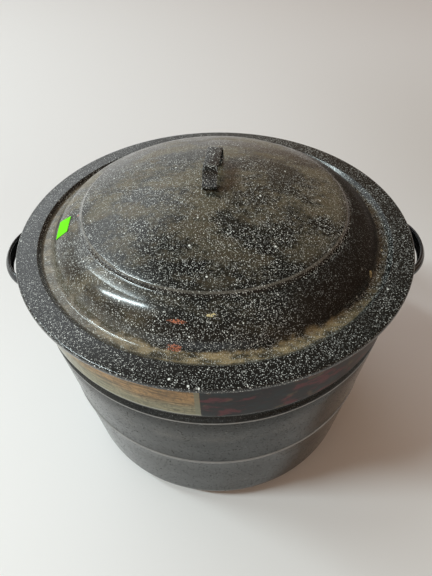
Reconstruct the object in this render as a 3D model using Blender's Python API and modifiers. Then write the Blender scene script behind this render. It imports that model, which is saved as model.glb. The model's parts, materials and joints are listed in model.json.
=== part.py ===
"""Enamelled water-bath canner: a rolled-rim kettle with two side handles, a domed lid with a strap
handle, and the wire jar rack that stands inside it.

Metres, +Z up, +X through the right side handle, origin on the floor under the kettle's axis.
"""

from math import cos, pi, radians, sin, sqrt, tan

import bmesh
import bpy
from mathutils import Matrix, Vector

# ---- shared ----
TURN_STEPS = 40  # facets round each turned piece; the pieces that lie on one share its facets
BOW_STEPS = 12  # facets along a side handle's bow
GAP = 0.0003  # between two pieces that touch
AXIS = Vector((0, 0, 1))

# ---- kettle ----
SHEET = 0.0010  # thickness of the kettle's enamelled steel
KETTLE_HEIGHT = 0.2590  # floor to the top of the rolled rim
MOUTH_RADIUS = 0.1725  # inside, just under the rolled rim
CURL_RADIUS = 0.0026  # of the rolled rim's round section
CURL_END = radians(-95)  # where the roll stops, before it meets the wall again
BAND_DROP = 0.0510  # from the top of the rim down to the groove under the flared band
BAND_FLARE = 0.0020  # the mouth is this much wider than the band's foot
GROOVE_DEPTH = 0.0030
GROOVE_HEIGHT = 0.0130
RIB_HEIGHT = 0.1100  # of the small rib's middle above the floor
RIB_PROUD = 0.0009
RIB_HALF = 0.0035
WALL_TAPER = 0.0095  # the wall's foot lies this far inside its top
CORNER_RADIUS = 0.0250
FOOT_WIDTH = 0.0510  # of the flat ring that stands on the floor, in from the wall's foot
FOOT_RISE = 0.0025  # the middle of the bottom is pressed up by this
FOOT_SLOPE = 0.0060

# ---- lid ----
LID_SHEET = 0.0010
LID_OVERHANG = 0.0075  # how far it reaches past the kettle's mouth
LID_RIM_WIDTH = 0.0185  # the flat ring that rests on the kettle
LID_EDGE_DROP = 0.0050  # the turned-down edge
LID_EDGE_ROUND = 0.0022
CHANNEL_DEPTH = 0.0040
CHANNEL_WIDTH = 0.0040
CHANNEL_SLOPE = 0.0040
SHOULDER_RISE = 0.0232  # above the flat ring, at the foot of the dome
SHOULDER_WIDTH = 0.0300
SHOULDER_TOP_PULL = (0.53, 0.18)  # how its curve leaves the dome, as shares of its width and rise
SHOULDER_FOOT_PULL = (0.13, 0.34)  # how its curve meets the channel
DOME_STEP = 0.0036  # the sharp rise round the foot of the dome
DOME_STEP_WIDTH = 0.0035
DOME_STEP_MIDDLE = 0.45  # where the step is steepest, as a share of it
DOME_RISE = 0.0230  # of the crown above the dome's own edge

# ---- lid handle ----
STRAP_WIDTH = 0.0125
STRAP_THICKNESS = 0.0012
STRAP_LENGTH = 0.0510  # over the two feet
STRAP_HEIGHT = 0.0165
STRAP_TOP_LENGTH = 0.0360
STRAP_FOOT = 0.0100
STRAP_CORNER = 0.0065
STRAP_FOOT_BEND = 0.0025
STRAP_TURN = radians(82)  # the way it points, from +X

# ---- side handles ----
GRIP_DROP = 0.0370  # from the top of the rim down to its middle, at the wall
GRIP_WIDTH = 0.0135
GRIP_THICKNESS = 0.0010
GRIP_BULGE = 0.0032  # its section is bowed outwards by this
GRIP_REACH = 0.0310
GRIP_HALF_SPAN = 0.0450
GRIP_LEG = 0.0060  # straight part between the foot's bend and the bow
GRIP_FOOT = 0.0160
GRIP_RISE = 0.20  # height gained for each unit of reach
GRIP_FOOT_BEND = 0.0050
GRIP_FLAT_LEG = 0.0110  # over this reach the flat foot turns into the bowed section

# ---- printed paper label on the band, and the price sticker on the lid ----
PAPER = 0.00025
LABEL_FACETS = 14
LABEL_TOP_MARGIN = 0.0090
LABEL_FOOT_MARGIN = 0.0015
STICKER_LENGTH = 0.0200
STICKER_WIDTH = 0.0150
STICKER_AZIMUTH = radians(190.5)
STICKER_TILT = radians(12)
STICKER_INSET = 0.0145  # of its middle, in from the foot of the lid's shoulder
STICKER_SLANT = 0.8  # of its width, what shows in plan on the slope

# ---- jar rack ----
RING_WIRE = 0.0020  # radius of the ring wires
FRAME_WIRE = 0.00175  # radius of the thinner wires
WIRE_SIDES = 6  # each wire is a six-sided rod with flats above and below
CELLS = 6  # jar places round the middle one
JAR_RADIUS = 0.0475  # of the jar that each place is made for
JAR_CLEARANCE = 0.0025
HUB_RING_INSET = 0.0120  # outside the dividers' inner ends
INNER_FLOOR_RING_INSET = 0.0290
OUTER_FLOOR_RING_INSET = 0.0240  # inside the dividers' feet
BASE_RING_INSET = 0.0120
TOP_RING_INSET = 0.0060  # inside the dividers' upper corners
FRAME_FOOT_CLEARANCE = 0.0190  # from the wall's foot, past the bottom corner
FRAME_TOP_CLEARANCE = 0.0050
FRAME_HEIGHT = 0.0900
FRAME_CORNER = 0.0050
BAR_SPACING = 0.0320  # between the two straight bars under the middle jar
BAR_OVERHANG = 0.0050  # past the inner floor ring
BAIL_HALF_SPAN = 0.0300
BAIL_TOP_DROP = 0.0390  # from the kettle's rim down to the top of a bail
BAIL_LEAN = radians(3)
BAIL_CORNER = 0.0045
BAIL_HOOK = 0.0100
BAIL_HOOK_DROP = 0.0120
EYE_CLEARANCE = 0.0010
EYE_OPEN = radians(75)
EYE_STEPS = 9

# ---- heights and radii that follow from the sizes above ----
LID_RIM_TOP = KETTLE_HEIGHT + GAP + LID_SHEET
BAND_FOOT = KETTLE_HEIGHT - BAND_DROP
GROOVE_FOOT = BAND_FOOT - GROOVE_HEIGHT
FLOOR_INSIDE = SHEET
BASE_RADIUS = MOUTH_RADIUS - BAND_FLARE - WALL_TAPER  # inside, where the wall meets the bottom corner
FOOT_INNER_RADIUS = BASE_RADIUS - FOOT_WIDTH
GRIP_HEIGHT = KETTLE_HEIGHT - GRIP_DROP
LID_RADIUS = MOUTH_RADIUS + LID_OVERHANG
CHANNEL_OUTER = LID_RADIUS - LID_RIM_WIDTH
SHOULDER_FOOT = CHANNEL_OUTER - CHANNEL_SLOPE - CHANNEL_WIDTH - CHANNEL_SLOPE
DOME_RADIUS = SHOULDER_FOOT - SHOULDER_WIDTH - DOME_STEP_WIDTH
DOME_EDGE = LID_RIM_TOP + SHOULDER_RISE + DOME_STEP
CROWN = DOME_EDGE + DOME_RISE
DOME_CURVE = (DOME_RADIUS**2 + DOME_RISE**2) / (2 * DOME_RISE)
STICKER_RADIUS = SHOULDER_FOOT - STICKER_INSET
FRAME_INNER = JAR_RADIUS + JAR_CLEARANCE
FRAME_FOOT = BASE_RADIUS - FRAME_FOOT_CLEARANCE
FRAME_TOP = BASE_RADIUS - FRAME_TOP_CLEARANCE
BASE_RING_RADIUS = FRAME_FOOT - BASE_RING_INSET
FLOOR_RING_RADII = (FRAME_FOOT - OUTER_FLOOR_RING_INSET, FRAME_INNER + INNER_FLOOR_RING_INSET)
HUB_RING_RADIUS = FRAME_INNER + HUB_RING_INSET
TOP_RING_RADIUS = FRAME_TOP - TOP_RING_INSET


# ---------------------------------------------------------------- helpers
def clear_scene():
    for obj in list(bpy.data.objects):
        bpy.data.objects.remove(obj, do_unlink=True)


def material(name, colour, roughness, metallic=0.0):
    made = bpy.data.materials.new(name)
    made.use_nodes = True
    shader = made.node_tree.nodes["Principled BSDF"]
    shader.inputs["Base Color"].default_value = (*colour, 1.0)
    shader.inputs["Roughness"].default_value = roughness
    shader.inputs["Metallic"].default_value = metallic
    return made


def add_object(name, data, coat):
    obj = bpy.data.objects.new(name, data)
    obj.data.materials.append(coat)
    canner.objects.link(obj)
    return obj


def arc(centre, radius, start, end, steps):
    """Points on a circle in the profile plane, both ends included."""
    return [
        (centre[0] + radius * cos(a), centre[1] + radius * sin(a))
        for a in (start + (end - start) * i / steps for i in range(steps + 1))
    ]


def bezier(p0, p1, p2, p3, steps):
    """Points of a cubic curve in the profile plane, without its first one."""
    return [
        tuple(
            (1 - t) ** 3 * a + 3 * t * (1 - t) ** 2 * b + 3 * t**2 * (1 - t) * c + t**3 * d
            for a, b, c, d in zip(p0, p1, p2, p3)
        )
        for t in ((i + 1) / steps for i in range(steps))
    ]


def thicken(obj, thickness):
    solid = obj.modifiers.new("sheet", "SOLIDIFY")
    solid.thickness = thickness
    solid.offset = -1.0
    solid.use_even_offset = True


def turned_shell(name, profile, thickness, coat):
    """A sheet-metal piece spun round the axis, its sheet behind the face that the profile draws."""
    mesh = bpy.data.meshes.new(name)
    edges = [(i, i + 1) for i in range(len(profile) - 1)]
    mesh.from_pydata([(r, 0.0, z) for r, z in profile], edges, [])
    obj = add_object(name, mesh, coat)
    screw = obj.modifiers.new("turn", "SCREW")
    screw.steps = TURN_STEPS
    screw.render_steps = TURN_STEPS
    screw.use_merge_vertices = True
    screw.merge_threshold = 0.00005
    thicken(obj, thickness)
    return obj


def sheet(name, along, across, place, thickness, coat):
    """A flat grid whose points are put in their places by place(row, column), then given its thickness."""
    bm = bmesh.new()
    bmesh.ops.create_grid(bm, x_segments=along, y_segments=across, size=0.5)
    for vert in bm.verts:
        row = round((vert.co.x + 0.5) * along)
        column = round((vert.co.y + 0.5) * across)
        vert.co = place(row, column)
    mesh = bpy.data.meshes.new(name)
    bm.to_mesh(mesh)
    bm.free()
    obj = add_object(name, mesh, coat)
    thicken(obj, thickness)
    return obj


def filleted(points, radii, steps, closed=False):
    """A path through straight stretches whose corners are rounded to the given radii."""
    path = []
    count = len(points)
    for i, corner in enumerate(points):
        radius = radii[i]
        if not radius or (not closed and i in (0, count - 1)):
            path.append(corner)
            continue
        back = (points[i - 1] - corner).normalized()
        ahead = (points[(i + 1) % count] - corner).normalized()
        half = back.angle(ahead) / 2
        middle = (back + ahead).normalized()
        centre = corner + middle * (radius / sin(half))
        first = corner + back * (radius / tan(half)) - centre
        normal = first.cross(corner + ahead * (radius / tan(half)) - centre)
        for k in range(steps + 1):
            turn = Matrix.Rotation((pi - 2 * half) * k / steps, 3, normal)
            path.append(centre + turn @ first)
    return path


def wire(name, points, radius, coat, closed=False):
    curve = bpy.data.curves.new(name, "CURVE")
    curve.dimensions = "3D"
    curve.bevel_depth = radius
    curve.bevel_resolution = WIRE_SIDES // 2 - 2
    curve.use_fill_caps = True
    spline = curve.splines.new("POLY")
    spline.points.add(len(points) - 1)
    for point, place in zip(spline.points, points):
        point.co = (*place, 1.0)
    spline.use_cyclic_u = closed
    return add_object(name, curve, coat)


def ring(name, radius, wire_radius, height, coat):
    bpy.ops.mesh.primitive_torus_add(
        major_segments=TURN_STEPS, minor_segments=WIRE_SIDES, major_radius=radius, minor_radius=wire_radius
    )
    made = bpy.context.object
    mesh = made.data
    bpy.data.objects.remove(made)
    mesh.name = name
    obj = add_object(name, mesh, coat)
    obj.location.z = height
    return obj


# ---------------------------------------------------------------- kettle
def wall_inside(height):
    """Radius of the kettle's inner face below the groove and above the bottom corner."""
    corner_top = FLOOR_INSIDE + CORNER_RADIUS
    top = MOUTH_RADIUS - BAND_FLARE
    return BASE_RADIUS + (top - BASE_RADIUS) * (height - corner_top) / (GROOVE_FOOT - corner_top)


def band_inside(height):
    """Radius of the inner face of the flared band."""
    top = KETTLE_HEIGHT - CURL_RADIUS
    return MOUTH_RADIUS - BAND_FLARE * (top - height) / (top - BAND_FOOT)


def band_outside(height):
    return band_inside(height) + SHEET


def kettle_profile():
    floor_middle = FLOOR_INSIDE + FOOT_RISE
    profile = [
        (0.0, floor_middle),
        (FOOT_INNER_RADIUS - FOOT_SLOPE, floor_middle),
        (FOOT_INNER_RADIUS, FLOOR_INSIDE),
    ]
    corner_middle = (BASE_RADIUS - CORNER_RADIUS, FLOOR_INSIDE + CORNER_RADIUS)
    profile += arc(corner_middle, CORNER_RADIUS, -pi / 2, 0.0, 5)
    profile += [
        (wall_inside(RIB_HEIGHT - RIB_HALF), RIB_HEIGHT - RIB_HALF),
        (wall_inside(RIB_HEIGHT) + RIB_PROUD, RIB_HEIGHT),
        (wall_inside(RIB_HEIGHT + RIB_HALF), RIB_HEIGHT + RIB_HALF),
    ]
    groove_steps = 6
    for i in range(groove_steps + 1):
        share = i / groove_steps
        dip = GROOVE_DEPTH * (1 - cos(2 * pi * share)) / 2
        profile.append((MOUTH_RADIUS - BAND_FLARE - dip, GROOVE_FOOT + GROOVE_HEIGHT * share))
    curl_middle = (MOUTH_RADIUS + CURL_RADIUS, KETTLE_HEIGHT - CURL_RADIUS)
    profile += arc(curl_middle, CURL_RADIUS, pi, CURL_END, 8)
    return profile


def grip_path(side):
    """Plan of a side handle's inner face: foot, bow, foot."""
    height = GRIP_HEIGHT
    wall = band_outside(height) + GAP
    foot_end = GRIP_HALF_SPAN + GRIP_FOOT
    leg_x = sqrt(wall**2 - GRIP_HALF_SPAN**2)
    end_x = sqrt(wall**2 - foot_end**2)
    bow_x = leg_x + GRIP_LEG
    bow_reach = wall + GRIP_REACH - bow_x
    foot = [Vector((end_x, foot_end, 0)), Vector((leg_x, GRIP_HALF_SPAN, 0))]
    bow = [
        Vector((bow_x + bow_reach * cos(a), GRIP_HALF_SPAN * sin(a), 0))
        for a in (pi / 2 - pi * i / BOW_STEPS for i in range(BOW_STEPS + 1))
    ]
    points = foot + bow + [Vector((p.x, -p.y, 0)) for p in reversed(foot)]
    radii = [0] * len(points)
    radii[1] = radii[-2] = GRIP_FOOT_BEND
    path = filleted(points, radii, 4)
    if side < 0:
        path = [Vector((-p.x, -p.y, 0)) for p in path]
    return path, leg_x


def side_handle(name, side, coat):
    path, leg_x = grip_path(side)
    across = 4
    last = len(path) - 1
    wall = band_outside(GRIP_HEIGHT)
    slope = BAND_FLARE / (BAND_DROP - CURL_RADIUS)

    def place(row, column):
        here = path[row]
        ahead = path[min(row + 1, last)] - path[max(row - 1, 0)]
        inward = ahead.cross(AXIS).normalized()
        reach = max(0.0, abs(here.x) - leg_x)
        bow = min(1.0, reach / GRIP_FLAT_LEG)
        share = 2 * column / across - 1
        point = here + inward * (GRIP_BULGE * bow * share**2)
        up = share * GRIP_WIDTH / 2
        lean = 1 + slope * up / wall
        rise = GRIP_RISE * reach
        return Vector((point.x * lean, point.y * lean, GRIP_HEIGHT + up + rise))

    return sheet(name, last, across, place, GRIP_THICKNESS, coat)


def label(name, coat):
    """The paper band on the front of the kettle, laid facet on facet."""
    low = BAND_FOOT + LABEL_FOOT_MARGIN
    high = KETTLE_HEIGHT - LABEL_TOP_MARGIN
    start = -pi / 2 - pi * LABEL_FACETS / TURN_STEPS

    def place(row, column):
        angle = start + 2 * pi * row / TURN_STEPS
        height = low + (high - low) * column
        radius = band_outside(height) + GAP + PAPER
        return Vector((radius * cos(angle), radius * sin(angle), height))

    return sheet(name, LABEL_FACETS, 1, place, PAPER, coat)


# ---------------------------------------------------------------- lid
def dome_height(radius):
    return CROWN - DOME_CURVE + sqrt(DOME_CURVE**2 - radius**2)


def shoulder_points():
    """The convex shoulder, from the foot of the dome's step down to the channel."""
    top = (SHOULDER_FOOT - SHOULDER_WIDTH, LID_RIM_TOP + SHOULDER_RISE)
    foot = (SHOULDER_FOOT, LID_RIM_TOP - CHANNEL_DEPTH / 2)
    across, down = SHOULDER_TOP_PULL
    near_top = (top[0] + SHOULDER_WIDTH * across, top[1] - SHOULDER_RISE * down)
    across, up = SHOULDER_FOOT_PULL
    near_foot = (foot[0] - SHOULDER_WIDTH * across, LID_RIM_TOP + SHOULDER_RISE * up)
    return [top] + bezier(top, near_top, near_foot, foot, 7)


def lid_profile():
    profile = [(DOME_RADIUS * i / 6, dome_height(DOME_RADIUS * i / 6)) for i in range(7)]
    step_middle = DOME_RADIUS + DOME_STEP_WIDTH * DOME_STEP_MIDDLE
    profile.append((step_middle, DOME_EDGE - DOME_STEP * DOME_STEP_MIDDLE))
    profile += shoulder_points()
    channel = LID_RIM_TOP - CHANNEL_DEPTH
    profile += [
        (SHOULDER_FOOT + CHANNEL_SLOPE, channel),
        (CHANNEL_OUTER - CHANNEL_SLOPE, channel),
        (CHANNEL_OUTER, LID_RIM_TOP),
    ]
    edge_middle = (LID_RADIUS - LID_EDGE_ROUND, LID_RIM_TOP - LID_EDGE_ROUND)
    profile += arc(edge_middle, LID_EDGE_ROUND, pi / 2, 0.0, 3)
    profile.append((LID_RADIUS, LID_RIM_TOP - LID_EDGE_DROP))
    return profile


def lid_handle(name, coat):
    """A bent strap whose feet turn inwards and lie on the dome."""
    foot = STRAP_LENGTH / 2
    top = STRAP_TOP_LENGTH / 2
    inner = foot - STRAP_FOOT
    lift = CROWN + STRAP_HEIGHT
    seat = GAP + STRAP_THICKNESS
    half = [
        Vector((inner, 0, dome_height(inner) + seat)),
        Vector((foot, 0, dome_height(foot) + seat)),
        Vector((top, 0, lift)),
    ]
    points = half + [Vector((-p.x, 0, p.z)) for p in reversed(half)]
    radii = (0, STRAP_FOOT_BEND, STRAP_CORNER, STRAP_CORNER, STRAP_FOOT_BEND, 0)
    path = filleted(points, radii, 5)
    turn = Matrix.Rotation(STRAP_TURN, 3, AXIS)

    def place(row, column):
        return turn @ (path[row] + Vector((0, (column / 2 - 0.5) * STRAP_WIDTH, 0)))

    return sheet(name, len(path) - 1, 2, place, STRAP_THICKNESS, coat)


def profile_height(profile, radius):
    """Height of a turned profile at this radius, along its straight facets."""
    for (r0, z0), (r1, z1) in zip(profile, profile[1:]):
        if r0 <= radius <= r1:
            return z0 + (z1 - z0) * (radius - r0) / (r1 - r0)
    return profile[-1][1]


def sticker(name, coat):
    """A small paper sticker that lies on the lid's shoulder."""
    profile = lid_profile()
    along, across = 6, 4
    corner = 1 / cos(pi / TURN_STEPS)  # a facet's corner lies this much further out than its middle

    def place(row, column):
        reach = (row / along - 0.5) * STICKER_LENGTH
        wide = (column / across - 0.5) * STICKER_WIDTH
        tangent = reach * cos(STICKER_TILT) - wide * sin(STICKER_TILT)
        slant = reach * sin(STICKER_TILT) + wide * cos(STICKER_TILT)
        angle = STICKER_AZIMUTH + tangent / STICKER_RADIUS
        radius = STICKER_RADIUS + slant * STICKER_SLANT
        height = profile_height(profile, radius) + GAP
        return Vector((radius * corner * cos(angle), radius * corner * sin(angle), height))

    return sheet(name, along, across, place, PAPER, coat)


# ---------------------------------------------------------------- jar rack
RING_HALF = RING_WIRE * cos(pi / WIRE_SIDES)  # half a wire's height, flat to flat
FRAME_HALF = FRAME_WIRE * cos(pi / WIRE_SIDES)
BASE_RING_HEIGHT = FLOOR_INSIDE + GAP + RING_HALF
FRAME_BOTTOM = BASE_RING_HEIGHT + RING_HALF + GAP + FRAME_HALF
FLOOR_RING_HEIGHT = FRAME_BOTTOM + FRAME_HALF + GAP + RING_HALF
FRAME_UPPER = FRAME_BOTTOM + FRAME_HEIGHT
TOP_RING_HEIGHT = FRAME_UPPER + FRAME_HALF + GAP + RING_HALF
BAIL_LENGTH = KETTLE_HEIGHT - BAIL_TOP_DROP - TOP_RING_HEIGHT


def divider(name, angle, coat):
    """A closed wire frame, standing in a plane through the axis, that parts two jars."""
    corners = [
        Vector((FRAME_INNER, 0, FRAME_BOTTOM)),
        Vector((FRAME_FOOT, 0, FRAME_BOTTOM)),
        Vector((FRAME_TOP, 0, FRAME_UPPER)),
        Vector((FRAME_INNER, 0, FRAME_UPPER)),
    ]
    path = filleted(corners, [FRAME_CORNER] * 4, 3, closed=True)
    obj = wire(name, path, FRAME_WIRE, coat, closed=True)
    obj.rotation_euler.z = angle
    return obj


def floor_bar(name, across, coat):
    """A straight wire under the inner floor ring, one of the pair that carries the middle jar."""
    reach = sqrt(FLOOR_RING_RADII[-1] ** 2 - across**2) + BAR_OVERHANG
    ends = [Vector((x, across, FRAME_BOTTOM)) for x in (-reach, reach)]
    wire(name, ends, FRAME_WIRE, coat)


def bail_pivot():
    """Distance from the axis of the straight line that a bail turns on."""
    return sqrt(TOP_RING_RADIUS**2 - BAIL_HALF_SPAN**2)


def rack_bail(name, side, coat):
    """A lifting handle: an eye round the top ring at each foot, a hook for the kettle's rim at the top."""
    eye = RING_WIRE + EYE_CLEARANCE + FRAME_WIRE
    start = pi / 2 + EYE_OPEN
    loop = [
        Vector((eye * cos(a), 0, eye * sin(a)))
        for a in (start + (2 * pi - EYE_OPEN) * i / EYE_STEPS for i in range(EYE_STEPS + 1))
    ]
    hook_low = BAIL_LENGTH - BAIL_HOOK_DROP
    leg = [
        loop[-1],
        Vector((0, 0, BAIL_LENGTH)),
        Vector((BAIL_HOOK, 0, BAIL_LENGTH)),
        Vector((BAIL_HOOK, 0, hook_low)),
    ]
    near = Vector((0, BAIL_HALF_SPAN, 0))
    rising = [p + near for p in loop[:-1]]
    bent = [p + near for p in leg]
    across = [p - near for p in reversed(leg)]
    radii = (0, BAIL_CORNER, BAIL_CORNER, BAIL_CORNER)
    middle = filleted(bent + across, radii + tuple(reversed(radii)), 3)
    falling = [p - near for p in reversed(loop[:-1])]
    obj = wire(name, rising + middle + falling, FRAME_WIRE, coat)
    pivot = bpy.data.objects.new(name + "_pivot", None)
    canner.objects.link(pivot)
    pivot.location = (side * bail_pivot(), 0, TOP_RING_HEIGHT)
    pivot.rotation_euler.z = 0 if side > 0 else pi
    obj.parent = pivot
    obj.rotation_euler.y = BAIL_LEAN
    return obj


def jar_rack(coat):
    ring("rack_base_ring", BASE_RING_RADIUS, RING_WIRE, BASE_RING_HEIGHT, coat)
    for i, radius in enumerate(FLOOR_RING_RADII):
        ring(f"rack_floor_ring_{i + 1}", radius, RING_WIRE, FLOOR_RING_HEIGHT, coat)
    ring("rack_hub_ring", HUB_RING_RADIUS, RING_WIRE, TOP_RING_HEIGHT, coat)
    ring("rack_top_ring", TOP_RING_RADIUS, RING_WIRE, TOP_RING_HEIGHT, coat)
    for i in range(CELLS):
        divider(f"rack_divider_{i + 1}", pi / CELLS + 2 * pi * i / CELLS, coat)
    for i, side in enumerate((-1, 1)):
        floor_bar(f"rack_floor_bar_{i + 1}", side * BAR_SPACING / 2, coat)
    rack_bail("rack_bail_right", 1, coat)
    rack_bail("rack_bail_left", -1, coat)


# ---------------------------------------------------------------- the whole canner
clear_scene()
canner = bpy.data.collections.new("water_bath_canner")
bpy.context.scene.collection.children.link(canner)

speckled_enamel = material("speckled_enamel", (0.035, 0.036, 0.034), 0.25)
black_enamel = material("black_enamel", (0.012, 0.012, 0.013), 0.2)
printed_paper = material("printed_paper", (0.33, 0.24, 0.14), 0.45)
green_paper = material("green_paper", (0.16, 0.87, 0.02), 0.6)
plated_wire = material("plated_wire", (0.62, 0.62, 0.60), 0.3, 1.0)

turned_shell("kettle_body", kettle_profile(), SHEET, speckled_enamel)
side_handle("side_handle_right", 1, black_enamel)
side_handle("side_handle_left", -1, black_enamel)
label("paper_label", printed_paper)
turned_shell("lid_shell", lid_profile(), LID_SHEET, speckled_enamel)
lid_handle("lid_handle", speckled_enamel)
sticker("price_sticker", green_paper)
jar_rack(plated_wire)
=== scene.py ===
"""The looks of an enamelled water-bath canner: speckled kettle and lid, bent handles, paper label and sticker,
and the plated wire rack inside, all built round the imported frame. Metres, +Z up, +X through the right grip."""

import json
from math import cos, pi, radians, sin, sqrt, tan

import bmesh
import bpy
from mathutils import Matrix, Vector, noise


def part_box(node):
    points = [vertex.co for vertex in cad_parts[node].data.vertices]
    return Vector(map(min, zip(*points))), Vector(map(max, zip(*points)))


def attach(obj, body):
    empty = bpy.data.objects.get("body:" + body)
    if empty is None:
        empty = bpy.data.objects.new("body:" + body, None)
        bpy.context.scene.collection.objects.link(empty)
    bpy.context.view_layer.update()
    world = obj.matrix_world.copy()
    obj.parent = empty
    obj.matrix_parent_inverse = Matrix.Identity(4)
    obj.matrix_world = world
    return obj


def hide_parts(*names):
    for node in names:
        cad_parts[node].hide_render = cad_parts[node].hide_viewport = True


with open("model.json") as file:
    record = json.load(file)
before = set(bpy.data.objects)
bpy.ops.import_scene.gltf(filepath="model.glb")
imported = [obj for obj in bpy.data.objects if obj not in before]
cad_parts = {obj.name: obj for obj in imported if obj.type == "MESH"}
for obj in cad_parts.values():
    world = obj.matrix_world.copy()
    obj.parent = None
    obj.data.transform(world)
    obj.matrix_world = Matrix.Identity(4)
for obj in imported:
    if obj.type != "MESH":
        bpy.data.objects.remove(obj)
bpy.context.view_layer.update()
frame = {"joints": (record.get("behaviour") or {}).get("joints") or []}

MM = 0.001
WELD = 0.002 * MM  # points closer than this are one point
AXIS = Vector((0, 0, 1))
TURN_STEPS = 240  # facets round the kettle and the lid

# ---- what the frame gives ----
lid_low, lid_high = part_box("lid_shell")
strap_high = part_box("lid_handle")[1]
label_low, label_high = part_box("paper_label")
LID_RADIUS = lid_high.x
CROWN = lid_high.z

# ---- kettle sheet ----
KETTLE_HEIGHT = 0.2590
SHEET = 1.0 * MM
MOUTH_RADIUS = 172.5 * MM
CURL_RADIUS = 2.6 * MM
CURL_END = radians(-110)
BAND_DROP = 51 * MM
BAND_FLARE = 2 * MM
GROOVE_DEPTH = 3 * MM
GROOVE_HEIGHT = 13 * MM
RIB_HEIGHT = 110 * MM
RIB_PROUD = 0.9 * MM
RIB_HALF = 3.5 * MM
BASE_RADIUS = 161 * MM
CORNER_RADIUS = 25 * MM
FOOT_INNER_RADIUS = 110 * MM
FOOT_RISE = 2.5 * MM
FOOT_SLOPE = 6 * MM
FLOOR_INSIDE = SHEET
BAND_FOOT = KETTLE_HEIGHT - BAND_DROP
GROOVE_FOOT = BAND_FOOT - GROOVE_HEIGHT

# ---- lid sheet ----
LID_SHEET = 1.0 * MM
LID_SEAT = 0.3 * MM  # between the kettle's rim and the lid
LID_RIM_TOP = KETTLE_HEIGHT + LID_SEAT + LID_SHEET
LID_EDGE_DROP = LID_RIM_TOP - lid_low.z
LID_EDGE_ROUND = 2.2 * MM
LID_HEM = 1.0 * MM
LID_HEM_END = radians(-150)
CHANNEL_OUTER = LID_RADIUS - 18.5 * MM
CHANNEL_DEPTH = 4 * MM
CHANNEL_SLOPE = 4 * MM
CHANNEL_WIDTH = 4 * MM
SHOULDER_FOOT = CHANNEL_OUTER - 2 * CHANNEL_SLOPE - CHANNEL_WIDTH
SHOULDER_WIDTH = 30 * MM
SHOULDER_RISE = 23.2 * MM
SHOULDER_TOP_PULL = (0.53, 0.18)  # how its curve leaves the dome, as shares of its width and rise
SHOULDER_FOOT_PULL = (0.13, 0.34)
DOME_STEP = 3.6 * MM
DOME_STEP_WIDTH = 3.5 * MM
DOME_RADIUS = SHOULDER_FOOT - SHOULDER_WIDTH - DOME_STEP_WIDTH
DOME_EDGE = LID_RIM_TOP + SHOULDER_RISE + DOME_STEP
DOME_RISE = CROWN - DOME_EDGE
DOME_CURVE = (DOME_RADIUS**2 + DOME_RISE**2) / (2 * DOME_RISE)
BROW = Vector((DOME_RADIUS + 1.3 * MM, 0, DOME_EDGE - 0.5 * MM))  # the corner above the step
BROW_ROUND = 5.0 * MM
STEP_FOOT_ROUND = 4.5 * MM
STEP_FOOT_DROP = 0.2 * MM
CREASE_DROP = 1.5 * MM  # the shoulder runs on this far before it turns into the channel
CREASE_ROUND = 5.5 * MM
CHANNEL_ROUND = 1.6 * MM
RIM_ROUND = 1.2 * MM


# ---------------------------------------------------------------- shapes
def filleted(points, radii, steps):
    """A path through straight stretches, each inner corner rounded to its own radius."""
    path = []
    for i, corner in enumerate(points):
        radius = radii[i]
        if not radius:
            path.append(corner)
            continue
        back = (points[i - 1] - corner).normalized()
        ahead = (points[(i + 1) % len(points)] - corner).normalized()
        half = back.angle(ahead) / 2
        centre = corner + (back + ahead).normalized() * (radius / sin(half))
        first = corner + back * (radius / tan(half)) - centre
        normal = first.cross(corner + ahead * (radius / tan(half)) - centre)
        for k in range(steps + 1):
            path.append(centre + Matrix.Rotation((pi - 2 * half) * k / steps, 3, normal) @ first)
    return path


def arc(centre_r, centre_z, radius, start, end, steps):
    """Profile points on a circle, both ends included."""
    angles = [start + (end - start) * i / steps for i in range(steps + 1)]
    return [Vector((centre_r + radius * cos(a), 0, centre_z + radius * sin(a))) for a in angles]


def bezier(p0, p1, p2, p3, steps):
    """Points of a cubic curve, without its first one."""
    points = []
    for i in range(1, steps + 1):
        t = i / steps
        s = 1 - t
        points.append(p0 * s**3 + p1 * (3 * t * s * s) + p2 * (3 * t * t * s) + p3 * t**3)
    return points


def sheet_section(line, thickness):
    """The closed outline of a sheet whose one face follows this line, its free end rounded over."""
    other = []
    for i, here in enumerate(line):
        along = (line[min(i + 1, len(line) - 1)] - line[max(i - 1, 0)]).normalized()
        other.append(here + Vector((along.z, 0, -along.x)) * thickness)
    tip = (line[-1] - line[-2]).normalized() * (thickness * 0.35)
    end = [line[-1] * 0.75 + other[-1] * 0.25 + tip, line[-1] * 0.25 + other[-1] * 0.75 + tip]
    return line + end + other[::-1]


def spun(section, steps=TURN_STEPS):
    """A bmesh turned round the axis from a section that starts and ends on it."""
    bm = bmesh.new()
    for end in (0, -1):
        section[end].x = 0
    verts = [bm.verts.new(p) for p in section]
    edges = [bm.edges.new(pair) for pair in zip(verts, verts[1:])]
    bmesh.ops.spin(bm, geom=verts + edges, cent=(0, 0, 0), axis=AXIS, angle=2 * pi, steps=steps, use_merge=True)
    bmesh.ops.remove_doubles(bm, verts=bm.verts, dist=WELD)
    bmesh.ops.recalc_face_normals(bm, faces=bm.faces)
    return bm


def swept(rows, columns, place):
    """A bmesh from a grid whose points go where place(row, column) says; edges that meet are welded."""
    bm = bmesh.new()
    bmesh.ops.create_grid(bm, x_segments=rows, y_segments=columns, size=0.5)
    for vert in bm.verts:
        vert.co = place(round((vert.co.x + 0.5) * rows), round((vert.co.y + 0.5) * columns))
    bmesh.ops.remove_doubles(bm, verts=bm.verts, dist=WELD)
    bmesh.ops.holes_fill(bm, edges=bm.edges, sides=0)
    bmesh.ops.recalc_face_normals(bm, faces=bm.faces)
    return bm


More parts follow.
